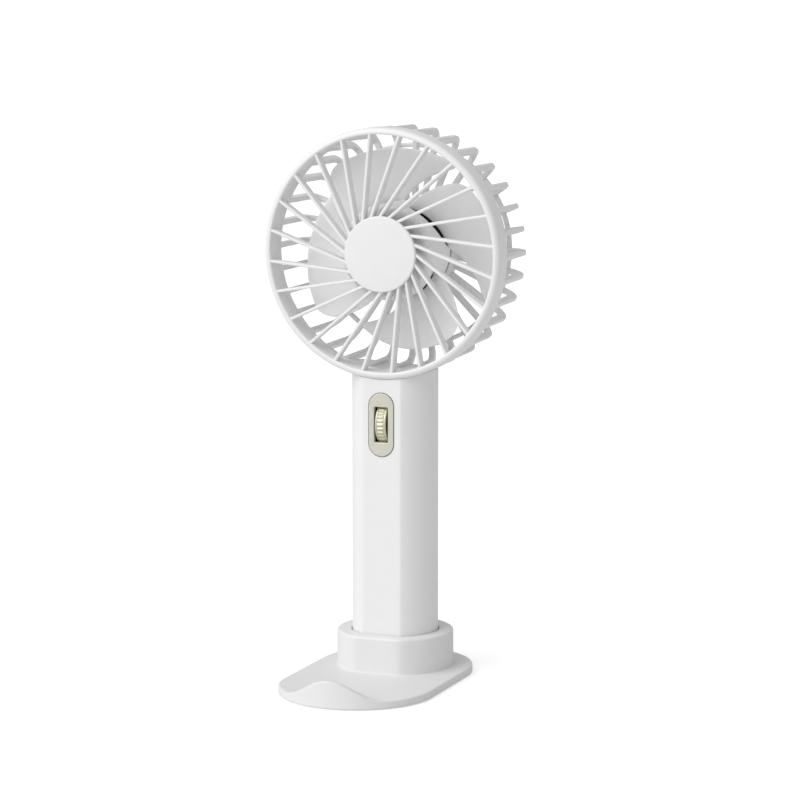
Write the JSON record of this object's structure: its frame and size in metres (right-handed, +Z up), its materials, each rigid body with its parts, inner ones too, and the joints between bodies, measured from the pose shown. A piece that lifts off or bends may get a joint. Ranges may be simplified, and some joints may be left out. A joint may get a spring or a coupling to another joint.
{
  "type": "handheld electric fan",
  "caption": "Slim round-handled electric fan with a slatted round head and a beige speed wheel, standing in a detachable desk stand with a raised phone lip.",
  "frame": {"origin": "on the surface that the stand rests on, straight below the axis of the handle", "axes": "+Z up along the handle, -Y towards the front of the fan, +X to the right seen from the front"},
  "size_m": [0.0916, 0.0931, 0.2004],
  "materials": {
    "white_shell": "fine satin moulding, white",
    "impeller_white": "smooth satin moulding, white",
    "beige_trim": "satin metallic beige",
    "beige_wheel": "satin metallic beige, knurled",
    "weight_steel": "zinc plated sheet",
    "pad_rubber": "soft matt",
    "screw_steel": "zinc plated",
    "frame_grey": "plain moulding",
    "cell_wrap": "shrink wrapped cell",
    "nickel_strip": "bright strip",
    "lead_red": "insulated wire",
    "board_green": "solder resist",
    "port_steel": "drawn shell",
    "lamp_clear": "clear light guide",
    "bracket_black": "plain moulding",
    "pin_steel": "ground pin",
    "sensor_blue": "plain moulding",
    "flange_metal": "turned flange and tube",
    "bush_bronze": "sintered bush",
    "stator_copper": "laminated core with enamelled windings",
    "can_black": "black coated steel",
    "magnet_grey": "bonded ring magnet",
    "clip_plastic": "small retaining washer"
  },
  "bodies": {
    "stand": {"stand_shell": "white_shell", "stand_weight_plate": "weight_steel", "stand_foot_pad": "pad_rubber"},
    "fan_body": {"handle_sleeve": "white_shell", "handle_end_cap": "white_shell", "sleeve_screws": "screw_steel", "inner_frame": "frame_grey", "battery_cell": "cell_wrap", "battery_tabs": "nickel_strip", "battery_leads": "lead_red", "control_board": "board_green", "charge_port": "port_steel", "status_lamp": "lamp_clear", "switch_bezel": "beige_trim", "wheel_bracket": "bracket_black", "wheel_axle": "pin_steel", "dial_sensor": "sensor_blue", "front_grille": "white_shell", "rear_cage": "white_shell", "motor_cover": "white_shell", "motor_screws": "screw_steel", "motor_base": "flange_metal", "motor_bushes": "bush_bronze", "motor_stator": "stator_copper", "motor_board": "board_green", "motor_leads": "lead_red"},
    "wheel": {"speed_wheel": "beige_wheel"},
    "rotor": {"motor_shaft": "pin_steel", "rotor_can": "can_black", "rotor_magnet": "magnet_grey", "shaft_clip": "clip_plastic", "impeller": "impeller_white"}
  },
  "joints": [
    {"name": "lift_out", "type": "slide", "parent": "stand", "child": "fan_body", "axis": [0, 0, 1], "range_m": [0, 0.04]},
    {"name": "rotor_spin", "type": "hinge", "parent": "fan_body", "child": "rotor", "pos_m": [0, 0, 0.1546], "axis": [0, 1, 0], "continuous": true},
    {"name": "speed_turn", "type": "hinge", "parent": "fan_body", "child": "wheel", "pos_m": [0, -0.0069, 0.0931], "axis": [1, 0, 0], "range_deg": [0, 270]}
  ]
}
